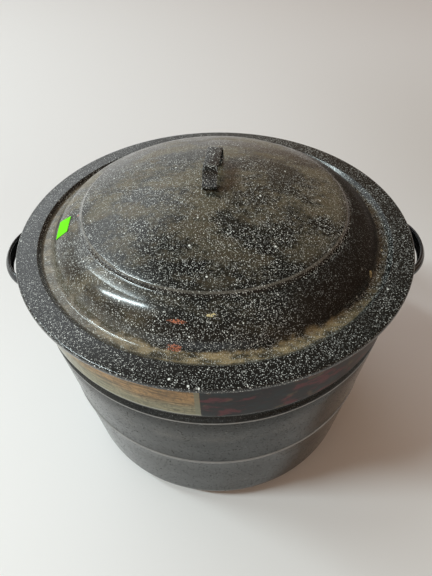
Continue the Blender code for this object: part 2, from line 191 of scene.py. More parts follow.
def frames_along(path, closed):
    """A place and turn at each point of a path, its Z along the path, twisting as little as it can."""
    frames = []
    count = len(path)
    for i, here in enumerate(path):
        behind = path[i - 1] if closed or i else here
        ahead = path[(i + 1) % count] if closed or i < count - 1 else here
        along = (ahead - behind).normalized()
        turn = last.rotation_difference(along) @ turn if frames else along.to_track_quat("Z", "Y")
        last = along
        frames.append(Matrix.LocRotScale(here, turn, None))
    return frames + frames[:1] if closed else frames


def wire_mesh(path, radius, closed=False, sides=14):
    """A round wire along a path; its free ends are domed."""
    frames = frames_along(path, closed)
    last = len(frames) - 1
    reach = [1.0] * len(frames)
    if not closed:
        for end, beyond in ((0, -1), (last, 1)):
            frames[end] = frames[end] @ Matrix.Translation((0, 0, beyond * radius * 0.35))
            reach[end] = 0.55

    def place(row, column):
        angle = 2 * pi * column / sides
        out = radius * reach[row]
        return frames[row] @ Vector((out * cos(angle), out * sin(angle), 0))

    return swept(last, sides, place)


SHEET_SHARP = radians(50)  # faces that meet at more than this keep a crisp edge
PAPER_SHARP = radians(80)


def piece(name, bm, coat, body, nodes=(), sharp=SHEET_SHARP):
    """Turns a bmesh into a finished piece that rides on a body and stands for its CAD nodes."""
    mesh = bpy.data.meshes.new(name)
    bm.to_mesh(mesh)
    bm.free()
    mesh.shade_smooth()
    mesh.set_sharp_from_angle(angle=sharp)
    mesh.materials.append(coat)
    obj = bpy.data.objects.new(name, mesh)
    bpy.context.scene.collection.objects.link(obj)
    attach(obj, body)
    if nodes:
        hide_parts(*nodes)
    return obj


# ---------------------------------------------------------------- shader maths
MIX_FIRST, MIX_SECOND, MIX_RESULT = 6, 7, 2  # a Mix node's colour sockets, by place


class Value:
    """A shader socket that takes part in sums: each operator adds its Math node."""

    def __init__(self, recipe, socket):
        self.recipe = recipe
        self.socket = socket

    def maths(self, operation, *values):
        return self.recipe.node("ShaderNodeMath", dict(enumerate(values)), operation=operation)

    def __add__(self, other):
        return self.maths("ADD", self, other)

    def __radd__(self, other):
        return self.maths("ADD", other, self)

    def __sub__(self, other):
        return self.maths("SUBTRACT", self, other)

    def __rsub__(self, other):
        return self.maths("SUBTRACT", other, self)

    def __mul__(self, other):
        return self.maths("MULTIPLY", self, other)

    def __rmul__(self, other):
        return self.maths("MULTIPLY", other, self)

    def __truediv__(self, other):
        return self.maths("DIVIDE", self, other)

    def __neg__(self):
        return self.maths("MULTIPLY", self, -1)

    def root(self):
        return self.maths("SQRT", self)

    def or_more(self, other):
        return self.maths("MAXIMUM", self, other)

    def or_less(self, other):
        return self.maths("MINIMUM", self, other)

    def over(self, edge):
        return self.maths("GREATER_THAN", self, edge)

    def rise(self, low, high):
        """0 below low, 1 above high, smooth between; with low above high it falls."""
        limits = {0: self, 1: min(low, high), 2: max(low, high), 3: float(low > high), 4: float(low < high)}
        return self.recipe.node("ShaderNodeMapRange", limits, interpolation_type="SMOOTHSTEP")

    def band(self, low, high, soft):
        """1 between low and high, fading out over soft at both ends."""
        return self.rise(low - soft, low) * self.rise(high + soft, high)


class Nodes:
    """A node tree that is being filled. Every node comes from node()."""

    def __init__(self, tree):
        self.tree = tree
        self.tree.nodes.clear()

    def node(self, kind, inputs=None, out=0, **settings):
        made = self.tree.nodes.new(kind)
        for name, value in settings.items():
            setattr(made, name, value)
        for name, value in (inputs or {}).items():
            if isinstance(value, Value):
                self.tree.links.new(value.socket, made.inputs[name])
            else:
                made.inputs[name].default_value = value
        if out is None:
            return made
        return Value(self, made.outputs[out])

    def parts(self, vector):
        made = self.node("ShaderNodeSeparateXYZ", {0: vector}, out=None)
        return [Value(self, socket) for socket in made.outputs]

    @staticmethod
    def colour(value):
        return value if isinstance(value, Value) else (*value, 1)

    def mix(self, share, first, second):
        """A colour between two colours."""
        links = {0: share, MIX_FIRST: self.colour(first), MIX_SECOND: self.colour(second)}
        return self.node("ShaderNodeMix", links, out=MIX_RESULT, data_type="RGBA")


class Recipe(Nodes):
    """A material that is worked out from the place on the piece."""

    def __init__(self, name):
        self.material = bpy.data.materials.new(name)
        self.material.use_nodes = True
        super().__init__(self.material.node_tree)
        self.point = self.node("ShaderNodeTexCoord", out="Object")
        self.x, self.y, self.z = self.parts(self.point)

    def from_axis(self):
        """Distance from the canner's axis."""
        return (self.x * self.x + self.y * self.y).root()

    def noise(self, size, detail=3.0, rough=0.5, stretch=(1, 1, 1), seed=0.0):
        """Soft noise, 0 to 1, whose lumps are about size across."""
        moved = self.node("ShaderNodeMapping", {0: self.point, 1: (seed, -seed, seed), 3: stretch})
        return self.node(
            "ShaderNodeTexNoise", {"Vector": moved, "Scale": 1 / size, "Detail": detail, "Roughness": rough}
        )

    def specks(self, cell, radius, share, seed):
        """Round dots of uneven size, one to a cell at most; share of the cells have one."""
        moved = self.node("ShaderNodeMapping", {0: self.point, 1: (seed, seed, -seed)})
        ragged = self.node("ShaderNodeTexNoise", {"Vector": moved, "Scale": 2.2 / cell, "Detail": 1.0})
        cells = self.node("ShaderNodeTexVoronoi", {"Vector": moved, "Scale": 1 / cell}, out=None)
        chance, size, _ = self.parts(Value(self, cells.outputs["Color"]))
        reach = (0.55 + 0.45 * size) * (radius / cell) * (0.6 + 0.8 * ragged)
        far = Value(self, cells.outputs["Distance"]) / reach
        return far.rise(1.0, 0.7) * (1 - chance.over(share))

    def bump(self, height, distance, strength=1.0, normal=None):
        links = {"Height": height, "Distance": distance, "Strength": strength}
        if normal:
            links["Normal"] = normal
        return self.node("ShaderNodeBump", links)

    def finish(self, colour, roughness, normal=None, **others):
        """The shader itself; others are its other sockets, with _ for each space."""
        inputs = {"Base Color": self.colour(colour), "Roughness": roughness}
        if normal:
            inputs["Normal"] = normal
        inputs.update({name.replace("_", " "): value for name, value in others.items()})
        shader = self.node("ShaderNodeBsdfPrincipled", inputs)
        self.node("ShaderNodeOutputMaterial", {0: shader}, out=None)
        return self.material


# ---------------------------------------------------------------- finishes
BLACK_GLAZE = (0.0075, 0.0090, 0.0082)
WHITE_FLECK = (0.84, 0.87, 0.83)
GREY_FLECK = (0.20, 0.21, 0.205)
TAN_FILM = (0.215, 0.170, 0.115)
BROWN_FILM = (0.085, 0.050, 0.030)
DARK_FILM = (0.135, 0.102, 0.058)
PALE_FILM = (0.290, 0.250, 0.155)
GREY_CRUST = (0.34, 0.295, 0.230)
GOLDEN_CRUST = (0.46, 0.355, 0.19)
PAINTED_SHADE_BLACK = (0.010, 0.006, 0.0035)
BROW_HIGHLIGHT_PALE = (0.34, 0.32, 0.27)
RIB_HIGHLIGHT_GREY = (0.36, 0.36, 0.35)
LIMESCALE = (0.42, 0.40, 0.36)
RUST = (0.48, 0.17, 0.095)
BARE_STEEL = (0.80, 0.68, 0.36)

# chips in the lid's enamel: degrees from +X, then radius, length and width in millimetres
LID_CHIPS = (
    (-101.8, 136.5, 13.0, 2.6, RUST),
    (-101.9, 148.6, 11.0, 2.8, RUST),
    (-91.5, 131.5, 8.0, 2.2, BARE_STEEL),
    (-31.0, 148.0, 6.5, 2.6, BARE_STEEL),
    (-16.0, 152.5, 4.0, 1.8, BARE_STEEL),
    (-172.0, 121.0, 3.2, 2.0, RUST),
)


def flecks(glaze, brightness=1.0):
    """White flecks in three sizes, thrown unevenly over the black glaze."""
    crowd = glaze.noise(26 * MM, seed=3.1).rise(0.30, 0.62)
    fine = glaze.specks(0.90 * MM, 0.40 * MM, 0.66, 0.3) * (0.40 + 0.60 * crowd)
    middle = glaze.specks(1.55 * MM, 0.54 * MM, 0.48, 1.7) * (0.55 + 0.45 * crowd)
    large = glaze.specks(6.5 * MM, 1.15 * MM, 0.20, 2.9)
    return (fine * (0.66 * brightness)).or_more(middle * brightness).or_more(large * brightness)


def glaze_ripple(glaze, fine=0.06 * MM):
    """The slight waviness of fired enamel."""
    broad = glaze.bump(glaze.noise(30 * MM, 2.0, seed=5.0), 0.35 * MM)
    return glaze.bump(glaze.noise(3.2 * MM, 2.0, seed=6.0), fine, normal=broad)


def spot(glaze, azimuth, radius, length, width):
    """A ragged patch on the lid, length along the turn and width across it."""
    cx, cy = radius * cos(azimuth), radius * sin(azimuth)
    dx, dy = glaze.x - cx, glaze.y - cy
    along = dy * cos(azimuth) - dx * sin(azimuth)
    across = dx * cos(azimuth) + dy * sin(azimuth)
    far = (along * along * (4 / length**2) + across * across * (4 / width**2)).root()
    ragged = far + (glaze.noise(1.6 * MM, 3.0, seed=8.0) - 0.5) * 1.5
    return ragged.rise(1.1, 0.75)


def lid_film(glaze, wisps, left, right):
    """Dried-on mineral film: how much there is of it, and its colour."""
    from_axis = glaze.from_axis()
    clouds = glaze.noise(40 * MM, 4.0, 0.60, stretch=(0.75, 1.2, 1), seed=11.3)
    grain = glaze.noise(1.2 * MM, 2.0, seed=7.0)
    back = glaze.y.rise(-0.12, 0.02)
    dome = from_axis.rise(DOME_RADIUS + 4 * MM, DOME_RADIUS - 8 * MM)
    shoulder = from_axis.band(DOME_RADIUS + 5 * MM, SHOULDER_FOOT, 3 * MM)
    # clouds over the dome and on the left of the shoulder
    ragged = clouds + 0.35 * (wisps - 0.5) + 0.25 * (glaze.noise(4 * MM, 3.0, seed=5.5) - 0.5)
    patches = ragged.rise(0.42, 0.62) * (0.45 + 0.55 * wisps.rise(0.35, 0.62))
    on_shoulder = shoulder * (0.16 + 0.24 * back + 0.30 * left) * (1 - right)
    film = patches * (dome * (0.28 + 0.34 * back) + on_shoulder)
    film = film + 0.07 * dome * back + 0.08 * shoulder * left
    # a broken crust along the channel, and a thinner one up the foot of the shoulder on the left
    wander = from_axis + (clouds - 0.5) * (14 * MM) + (wisps - 0.5) * (8 * MM)
    channel = wander.band(SHOULDER_FOOT + 1.5 * MM, CHANNEL_OUTER - 4 * MM, 3 * MM)
    inside_rim = from_axis.rise(CHANNEL_OUTER - 1.5 * MM, CHANNEL_OUTER - 4 * MM)
    lower = wander.rise(SHOULDER_FOOT - 13 * MM, SHOULDER_FOOT) * inside_rim
    broken = wisps.rise(0.36, 0.64)
    crust = channel * inside_rim * (0.08 + 0.80 * broken) * (1 - 0.80 * glaze.x.rise(0.06, 0.14))
    film = film.or_more(crust).or_more(lower * left * (0.30 + 0.30 * broken))
    film = film * (0.45 + 1.0 * grain) * (1 - 0.5 * on_step(from_axis))
    colour = glaze.mix(wisps.rise(0.35, 0.70), PALE_FILM, DARK_FILM)
    return film, glaze.mix(channel * 0.7, colour, glaze.mix(left, GOLDEN_CRUST, GREY_CRUST)), grain


def on_step(from_axis):
    return from_axis.band(DOME_RADIUS + 1 * MM, DOME_RADIUS + 5 * MM, 1 * MM)


def lid_enamel():
    """Speckled black enamel under film, with painted shade on the right, a painted highlight along the dome's
    brow, and chips to rust or bare steel.
    """
    glaze = Recipe("lid_enamel")
    from_axis = glaze.from_axis()
    wisps = glaze.noise(13 * MM, 5.0, 0.62, stretch=(0.7, 1.5, 1), seed=2.2)
    left = glaze.x.rise(-0.01, -0.12)
    right = (glaze.x - 0.25 * glaze.y).rise(0.055, 0.115)
    film, film_colour, grain = lid_film(glaze, wisps, left, right)
    colour = glaze.mix(film, BLACK_GLAZE, film_colour)
    # painted shade: the right of the shoulder is darkened nearly to black, and its flecks and gloss are taken
    # away
    right_shade = right * from_axis.band(DOME_RADIUS + 8 * MM, SHOULDER_FOOT - 3 * MM, 4 * MM)
    right_shade = right_shade * (0.70 + 0.30 * wisps)
    colour = glaze.mix(right_shade * 0.85, colour, PAINTED_SHADE_BLACK)
    # flecks, dimmer on the flat rim except at the front
    rim = from_axis.over(CHANNEL_OUTER - 1 * MM)
    front = glaze.y.rise(-0.05, -0.15) * glaze.x.rise(0.08, 0.02)
    fleck = flecks(glaze) * (1 - 0.45 * film) * (1 - 0.88 * right_shade) * (1 - 0.30 * rim * (1 - front))
    colour = glaze.mix(fleck, colour, WHITE_FLECK)
    # painted highlight: a pale line along the dome's brow
    brow_highlight = from_axis.band(DOME_RADIUS + 0.7 * MM, DOME_RADIUS + 1.7 * MM, 0.6 * MM)
    colour = glaze.mix(brow_highlight * (0.10 + 0.30 * wisps), colour, BROW_HIGHLIGHT_PALE)
    # chips down to rust or bare steel, with crumbs of glaze left in them
    crumbs = glaze.noise(0.9 * MM, 2.0, seed=12.0).rise(0.42, 0.54)
    for azimuth, radius, length, width, tone in LID_CHIPS:
        chip = spot(glaze, radians(azimuth), radius * MM, length * MM, width * MM)
        colour = glaze.mix(chip * crumbs, colour, tone)
    roughness = (0.22 + 0.35 * film + 0.40 * right_shade + 0.05 * grain).or_less(0.8)
    # the glaze's gloss is a coat: thin on film, gone where the right side is painted into shade, best on the
    # step and crease on the left
    crease = from_axis.band(SHOULDER_FOOT - 2 * MM, SHOULDER_FOOT + 2 * MM, 1 * MM)
    edges = on_step(from_axis).or_more(crease)
    gloss = (0.44 + 0.30 * left + 0.45 * edges * left - 0.32 * film) * (1 - 0.95 * right_shade)
    ripple = glaze_ripple(glaze, 0.025 * MM)
    return glaze.finish(
        colour, roughness, ripple, Coat_Weight=gloss, Coat_Roughness=0.13, Specular_IOR_Level=0.13
    )


def kettle_enamel():
    """Black enamel with grey flecks and pimples, painted highlight lines on its rib and groove lip, scaled
    inside, worn underneath.
    """
    glaze = Recipe("kettle_enamel")
    from_axis = glaze.from_axis()
    pits = glaze.specks(3.0 * MM, 1.1 * MM, 0.75, 4.4)
    fleck = flecks(glaze, 0.5)
    colour = glaze.mix(fleck * (1 - pits), BLACK_GLAZE, GREY_FLECK)
    # painted highlight: pale lines along the rib and on the lip under the groove, weaker towards the back
    highlight_lines = glaze.z.band(RIB_HEIGHT - 0.5 * MM, RIB_HEIGHT + 2.2 * MM, 0.8 * MM)
    highlight_lines = highlight_lines.or_more(glaze.z.band(GROOVE_FOOT - 0.6 * MM, GROOVE_FOOT + 0.6 * MM, 0.5 * MM))
    highlight_strength = (0.45 + 0.4 * glaze.noise(12 * MM, 3.0, seed=6.6)) * (1 - 0.65 * glaze.y.rise(-0.08, 0.02))
    painted_highlight = highlight_lines * from_axis.over(BASE_RADIUS + 3 * MM) * highlight_strength
    colour = glaze.mix(painted_highlight, colour, RIB_HIGHLIGHT_GREY)
    # scale left by hard water inside, heaviest near the usual water line
    inside = from_axis.rise(171 * MM, 168 * MM) * glaze.z.rise(1.5 * MM, 4 * MM)
    line = glaze.z.band(165 * MM, 180 * MM, 12 * MM)
    line = line * glaze.noise(24 * MM, 4.0, seed=1.0).rise(0.3, 0.7)
    dull = glaze.noise(70 * MM, 4.0, 0.6, stretch=(1, 1, 0.4), seed=9.0).rise(0.4, 0.7)
    colour = glaze.mix(inside * line * 0.25, colour, LIMESCALE)
    colour = glaze.mix(dull * 0.05, colour, TAN_FILM)
    # soot and wear where it stands on the hob
    sole = glaze.z.rise(10 * MM, 1 * MM)
    soot = glaze.noise(9 * MM, 4.0, seed=3.3).rise(0.45, 0.7)
    colour = glaze.mix(sole * soot * 0.5, colour, BROWN_FILM)
    roughness = 0.13 + 0.10 * dull + 0.42 * pits + 0.3 * sole + 0.3 * painted_highlight
    pimples = glaze.specks(2.6 * MM, 1.0 * MM, 0.8, 7.4)
    skin = glaze.bump(pimples, 0.22 * MM, normal=glaze_ripple(glaze, 0.04 * MM))
    return glaze.finish(colour, roughness, skin, Specular_IOR_Level=0.20)


def strap_enamel():
    """The lid handle's speckled enamel, dulled where it is held."""
    glaze = Recipe("strap_enamel")
    worn = glaze.noise(6 * MM, 4.0, seed=2.0).rise(0.55, 0.75)
    colour = glaze.mix(flecks(glaze), BLACK_GLAZE, WHITE_FLECK)
    colour = glaze.mix(worn * 0.10, colour, TAN_FILM)
    return glaze.finish(colour, 0.2 + 0.2 * worn, glaze_ripple(glaze), Specular_IOR_Level=0.55)


def grip_enamel():
    """The side grips' plain black enamel, with a few dim flecks."""
    glaze = Recipe("grip_enamel")
    rubbed = glaze.noise(14 * MM, 4.0, 0.6, seed=4.0).rise(0.45, 0.75)
    fleck = flecks(glaze, 0.16)
    colour = glaze.mix(fleck, (0.008, 0.009, 0.010), GREY_FLECK)
    return glaze.finish(colour, 0.10 + 0.16 * rubbed, glaze_ripple(glaze, 0.04 * MM), Specular_IOR_Level=0.55)


LABEL_SEAM = radians(-4.6)  # where the label's two panels meet, from the front
DARK_WOOD, PALE_WOOD = (0.120, 0.076, 0.034), (0.440, 0.275, 0.120)
DARK_OLIVE, PALE_OLIVE = (0.120, 0.130, 0.080), (0.330, 0.335, 0.230)
GRAZING_REFLECTION_GREY = (0.50, 0.50, 0.46)
WEAVE = (0.062, 0.058, 0.036)
DARK_TEAL, DARK_GREY = (0.010, 0.022, 0.025), (0.012, 0.010, 0.011)
DIM_RED, DIM_TAN = (0.105, 0.020, 0.026), (0.120, 0.085, 0.045)
SEAM_STRIP = (0.190, 0.200, 0.140)
PALE_EDGE = (0.42, 0.43, 0.36)


def label_paper():
    """Glossy printed paper: a wood-grained panel, a pale strip, and a dark panel with dim colours."""
    paper = Recipe("label_paper")
    turn = paper.node("ShaderNodeMath", {0: paper.x, 1: -paper.y}, operation="ARCTAN2")
    height = (paper.z - label_low.z) / (label_high.z - label_low.z)
    grain = paper.noise(5 * MM, 6.0, 0.65, stretch=(0.35, 0.35, 2.2), seed=1.0)
    figure = paper.noise(34 * MM, 3.0, 0.5, stretch=(1, 1, 1.5), seed=6.0)
    # left panel: wood above, olive below and towards its far end
    wood = paper.mix(grain.rise(0.32, 0.68), DARK_WOOD, PALE_WOOD)
    olive = paper.mix(grain.rise(0.3, 0.7), DARK_OLIVE, PALE_OLIVE)
    # painted reflection: the olive pales towards the panel's far left end, where the band is seen at a grazing
    # angle
    olive = paper.mix(turn.rise(radians(-34), radians(-56)), olive, GRAZING_REFLECTION_GREY)
    lower = (height + 0.45 * (figure - 0.5)).rise(0.62, 0.28)
    far = turn.rise(radians(-30), radians(-52))
    left = paper.mix((lower * 0.8).or_more(far), wood, olive)
    weave = paper.noise(2.4 * MM, 3.0, 0.65, stretch=(1, 1, 0.5), seed=9.1)
    left = paper.mix(weave.rise(0.46, 0.68) * 0.5, left, WEAVE)
    # right panel
    blotch = paper.noise(20 * MM, 4.0, 0.6, stretch=(1, 1, 2.2), seed=3.7)
    tan_blotch = paper.noise(13 * MM, 3.0, seed=8.8).rise(0.60, 0.72)
    dark = paper.mix(blotch.rise(0.30, 0.5), DARK_TEAL, DARK_GREY)
    dark = paper.mix(blotch.rise(0.52, 0.62) * 0.8, dark, DIM_RED)
    dark = paper.mix(tan_blotch * 0.5, dark, DIM_TAN)
    # the strip between them, and the pale line along the left panel's foot
    colour = paper.mix(turn.rise(LABEL_SEAM, LABEL_SEAM + radians(0.25)), left, dark)
    strip = turn.band(LABEL_SEAM - radians(1.1), LABEL_SEAM, radians(0.15))
    colour = paper.mix(strip * 0.75, colour, SEAM_STRIP)
    foot = (height + 0.05 * (grain - 0.5)).rise(0.055, 0.030)
    foot = foot * (1 - turn.rise(LABEL_SEAM, LABEL_SEAM + 0.01))
    colour = paper.mix(foot * 0.6, colour, PALE_EDGE)
    creases = paper.bump(paper.noise(45 * MM, 2.0, stretch=(1, 1, 0.5), seed=2.5), 0.5 * MM)
    return paper.finish(colour, 0.28 + 0.15 * grain, creases, Specular_IOR_Level=0.15)


def sticker_paper():
    """Matt fluorescent paper, scuffed in patches."""
    paper = Recipe("sticker_paper")
    fibre = paper.noise(0.9 * MM, 4.0, 0.7, seed=1.0)
    rub = paper.noise(7 * MM, 3.0, seed=4.0).rise(0.55, 0.75)
    colour = paper.mix(fibre, (0.13, 0.74, 0.006), (0.19, 0.85, 0.010))
    colour = paper.mix(rub * 0.25, colour, (0.30, 0.85, 0.16))
    return paper.finish(colour, 0.6 + 0.2 * fibre, paper.bump(fibre, 0.03 * MM), Specular_IOR_Level=0.1)


def plated_wire():
    """Bright plated steel wire, dulled and slightly brown where water stood."""
    plate = Recipe("plated_wire")
    dull = plate.noise(9 * MM, 5.0, 0.6, seed=2.0).rise(0.35, 0.75)
    brown = plate.noise(23 * MM, 4.0, 0.6, seed=5.0).rise(0.56, 0.74)
    drawn = plate.noise(0.8 * MM, 3.0, seed=3.0)
    colour = plate.mix(dull, (0.80, 0.80, 0.79), (0.56, 0.56, 0.54))
    colour = plate.mix(brown * 0.55, colour, (0.33, 0.22, 0.14))
    roughness = 0.14 + 0.22 * dull + 0.25 * brown
    return plate.finish(colour, roughness, plate.bump(drawn, 0.02 * MM), Metallic=1.0)


def floor_paper():
    """Plain pale ground, with painted shade that makes it a little darker behind and on the right."""
    ground = Recipe("floor_paper")
    mottle = ground.noise(0.5, 2.0, seed=1.0)
    pale = ground.mix(mottle, (0.865, 0.850, 0.840), (0.885, 0.875, 0.865))
    # painted shade: the ground is darker towards the back
    pale = ground.mix(ground.y.rise(-0.10, 0.45), pale, (0.745, 0.725, 0.715))
    # painted shadow: a broad darker patch on the right, beside and behind the kettle
    shade = ground.x.rise(0.05, 0.60) * ground.y.rise(-0.12, 0.25) * ground.y.rise(1.4, 0.4)
    colour = ground.mix(shade * 0.5, pale, (0.52, 0.48, 0.44))
    return ground.finish(colour, 0.55, Specular_IOR_Level=0.3)


# ---------------------------------------------------------------- kettle
def wall_inside(height):
    """Radius of the kettle's inner face between the bottom corner and the groove."""
    corner_top = FLOOR_INSIDE + CORNER_RADIUS
    top = MOUTH_RADIUS - BAND_FLARE
    return BASE_RADIUS + (top - BASE_RADIUS) * (height - corner_top) / (GROOVE_FOOT - corner_top)


def band_outside(height):
    """Radius of the flared band's outer face."""
    top = KETTLE_HEIGHT - CURL_RADIUS
    return MOUTH_RADIUS - BAND_FLARE * (top - height) / (top - BAND_FOOT) + SHEET


def swell(share):
    """0 at both ends and 1 in the middle, smooth."""
    return (1 - cos(2 * pi * share)) / 2


def kettle_line():
    """The kettle's inner face, from the middle of the floor up over the rolled rim."""
    floor_middle = FLOOR_INSIDE + FOOT_RISE
    line = [Vector((FOOT_INNER_RADIUS * i / 8, 0, floor_middle)) for i in range(8)]
    slope, rib, groove = 10, 12, 24  # points along each
    for i in range(slope + 1):
        share = i / slope
        drop = FOOT_RISE * (1 - cos(pi * share)) / 2
        line.append(Vector((FOOT_INNER_RADIUS - FOOT_SLOPE * (1 - share), 0, floor_middle - drop)))
    line += arc(BASE_RADIUS - CORNER_RADIUS, FLOOR_INSIDE + CORNER_RADIUS, CORNER_RADIUS, -pi / 2, 0, 24)
    for height in (0.045, 0.065, 0.085):
        line.append(Vector((wall_inside(height), 0, height)))
    for i in range(rib + 1):
        height = RIB_HEIGHT + RIB_HALF * (2 * i / rib - 1)
        line.append(Vector((wall_inside(height) + RIB_PROUD * swell(i / rib), 0, height)))
    for height in (0.135, 0.155, 0.175):
        line.append(Vector((wall_inside(height), 0, height)))
    for i in range(groove + 1):
        dip = GROOVE_DEPTH * swell(i / groove) ** 0.8
        line.append(Vector((MOUTH_RADIUS - BAND_FLARE - dip, 0, GROOVE_FOOT + GROOVE_HEIGHT * i / groove)))
    for height in (0.225, 0.245):
        line.append(Vector((band_outside(height) - SHEET, 0, height)))
    line += arc(MOUTH_RADIUS + CURL_RADIUS, KETTLE_HEIGHT - CURL_RADIUS, CURL_RADIUS, pi, CURL_END, 20)
    return line


def kettle(coat):
    shell = spun(sheet_section(kettle_line(), SHEET))
    piece("kettle", shell, coat, "kettle", ["kettle_body"])


# ---------------------------------------------------------------- side grips
GRIP_HEIGHT = 222 * MM
GRIP_HALF_WIDTH = 6.4 * MM
GRIP_THICKNESS = 0.9 * MM
GRIP_LIP = 1.25 * MM  # radius of the rolled lips
GRIP_LIP_TURN = radians(235)
GRIP_BULGE = 2.6 * MM
GRIP_REACH = 31 * MM
GRIP_HALF_SPAN = 45 * MM
GRIP_LEG = 6 * MM
GRIP_FOOT = 16 * MM
GRIP_FOOT_BEND = 4 * MM
GRIP_RISE = 0.20  # height gained for each unit of reach
GRIP_GAP = 0.35 * MM
GRIP_FLAT_LEG = 9 * MM  # over this reach the flat foot turns into the bowed section
GRIP_FLATNESS = 0.12  # of the foot's section, as a share of the full bow


def grip_path():
    """Plan of a grip's inner face: foot along the wall, bend, bow, bend, foot."""
    wall = band_outside(GRIP_HEIGHT) + GRIP_GAP
    leg_x = sqrt(wall**2 - GRIP_HALF_SPAN**2)
    bow_x = leg_x + GRIP_LEG
    bow_reach = wall + GRIP_REACH - bow_x
    foot = []
    for i in range(5):
        y = GRIP_HALF_SPAN + GRIP_FOOT * (1 - i / 4)
        foot.append(Vector((sqrt(wall**2 - y**2), y, 0)))
    bow = []
    steps = 48
    for i in range(steps + 1):
        a = pi / 2 - pi * i / steps
        bow.append(Vector((bow_x + bow_reach * cos(a), GRIP_HALF_SPAN * sin(a), 0)))
    points = foot + bow + [Vector((p.x, -p.y, 0)) for p in reversed(foot)]
    radii = [0] * len(points)
    radii[4] = radii[-5] = GRIP_FOOT_BEND
    return filleted(points, radii, 8), leg_x


def grip_section():
    """Across the strap: X up, Z towards the hand; the edges are rolled in towards the kettle."""
    half = GRIP_HALF_WIDTH - GRIP_LIP
    bow = [Vector((half * (i / 6 - 1), 0, -GRIP_BULGE * (i / 6 - 1) ** 2)) for i in range(13)]
    steps = 8
    lips = []
    for i in range(1, steps + 1):
        a = GRIP_LIP_TURN * i / steps
        lips.append(Vector((half + GRIP_LIP * sin(a), 0, -GRIP_BULGE - GRIP_LIP * (1 - cos(a)))))
    low = [Vector((-p.x, 0, p.z)) for p in reversed(lips)]
    return sheet_section(low + bow + lips, GRIP_THICKNESS * 0.7)


def side_grip(name, side, coat):
    path, leg_x = grip_path()
    section = grip_section()
    section.append(section[0])
    last = len(path) - 1

    def place(row, column):
        here = path[row]
        along = (path[min(row + 1, last)] - path[max(row - 1, 0)]).normalized()
        outward = AXIS.cross(along).normalized()
        reach = max(0.0, here.x - leg_x)
        full = min(1.0, reach / GRIP_FLAT_LEG)
        across = section[column]
        bow = (GRIP_FLATNESS + (1 - GRIP_FLATNESS) * full) * full + (1 - full) * GRIP_FLATNESS
        depth = GRIP_THICKNESS + across.z * bow
        point = here + outward * depth
        up = across.x
        lean = 1 + up * BAND_FLARE / BAND_DROP / point.x
        return Vector((side * point.x * lean, side * point.y, GRIP_HEIGHT + up + GRIP_RISE * reach))

    node = "side_handle_" + name.removeprefix("grip_")
    piece(name, swept(last, len(section) - 1, place), coat, "kettle", [node])


# ---------------------------------------------------------------- label
LABEL_HALF_TURN = radians(62.5)
LABEL_SKIN = 0.12 * MM  # its thickness, its gap to the wall, and how far it lifts


def label(coat):
    """A paper band laid on the kettle, a little uneven where the glue has let go."""
    rows, columns = 220, 12
    height = label_high.z - label_low.z

    def place(row, column):
        outer = column <= columns // 2
        share = column / (columns // 2) if outer else 2 - column / (columns // 2)
        z = label_low.z + height * share
        angle = -pi / 2 - LABEL_HALF_TURN + 2 * LABEL_HALF_TURN * row / rows
        lift = LABEL_SKIN * (1 + noise.noise(Vector((angle * 9, share * 2, 0))))
        radius = band_outside(z) + LABEL_SKIN + (lift + (LABEL_SKIN if outer else 0))
        return Vector((radius * cos(angle), radius * sin(angle), z))

    paper = swept(rows, columns, place)
    piece("label", paper, coat, "kettle", ["paper_label"], PAPER_SHARP)


# ---------------------------------------------------------------- lid
def dome_height(radius):
    return CROWN - DOME_CURVE + sqrt(DOME_CURVE**2 - radius**2)


def lid_line():
    """The lid's upper face, from the crown out to its turned-down edge."""
    steps = 26
    line = [Vector((DOME_RADIUS * i / steps, 0, dome_height(DOME_RADIUS * i / steps))) for i in range(steps)]
    foot = Vector((SHOULDER_FOOT, 0, LID_RIM_TOP - CHANNEL_DEPTH * 0.5))
    top = Vector((SHOULDER_FOOT - SHOULDER_WIDTH, 0, LID_RIM_TOP + SHOULDER_RISE))
    across, down = SHOULDER_TOP_PULL
    near_top = top + Vector((SHOULDER_WIDTH * across, 0, -SHOULDER_RISE * down))
    across, up = SHOULDER_FOOT_PULL
    near_foot = Vector((foot.x - SHOULDER_WIDTH * across, 0, LID_RIM_TOP + SHOULDER_RISE * up))
    shoulder = bezier(top, near_top, near_foot, foot, 26)
    corners = [line[-1], BROW, top - Vector((0, 0, STEP_FOOT_DROP)), shoulder[4]]
    line += filleted(corners, (0, BROW_ROUND, STEP_FOOT_ROUND, 0), 8)[1:]
    line += shoulder[5:-4]
    corners = [
        shoulder[-4],
        foot + (shoulder[-1] - shoulder[-2]).normalized() * CREASE_DROP,
        Vector((CHANNEL_OUTER - CHANNEL_SLOPE, 0, LID_RIM_TOP - CHANNEL_DEPTH)),
        Vector((CHANNEL_OUTER, 0, LID_RIM_TOP)),
        Vector((LID_RADIUS - LID_EDGE_ROUND, 0, LID_RIM_TOP)),
    ]
    line += filleted(corners, (0, CREASE_ROUND, CHANNEL_ROUND, RIM_ROUND, 0), 8)[:-1]
    line += arc(LID_RADIUS - LID_EDGE_ROUND, LID_RIM_TOP - LID_EDGE_ROUND, LID_EDGE_ROUND, pi / 2, 0, 8)
    line += arc(LID_RADIUS - LID_HEM, LID_RIM_TOP - LID_EDGE_DROP + LID_HEM, LID_HEM, 0, LID_HEM_END, 7)
    return line


def lid(coat):
    shell = spun(sheet_section(lid_line(), LID_SHEET * 0.8))
    piece("lid", shell, coat, "lid", ["lid_shell"])


STRAP_WIDTH = 12.5 * MM
STRAP_THICKNESS = 1.2 * MM
STRAP_LENGTH = 51 * MM
STRAP_TOP_LENGTH = 36 * MM
STRAP_FOOT = 10 * MM
STRAP_FOOT_BEND = 2.5 * MM
STRAP_CORNER = 6.5 * MM
STRAP_EDGE = 0.45 * MM  # the rounding of its long edges
STRAP_TURN = radians(82)
STRAP_LIFT = strap_high.z - STRAP_THICKNESS
STRAP_SEAT = 0.3 * MM


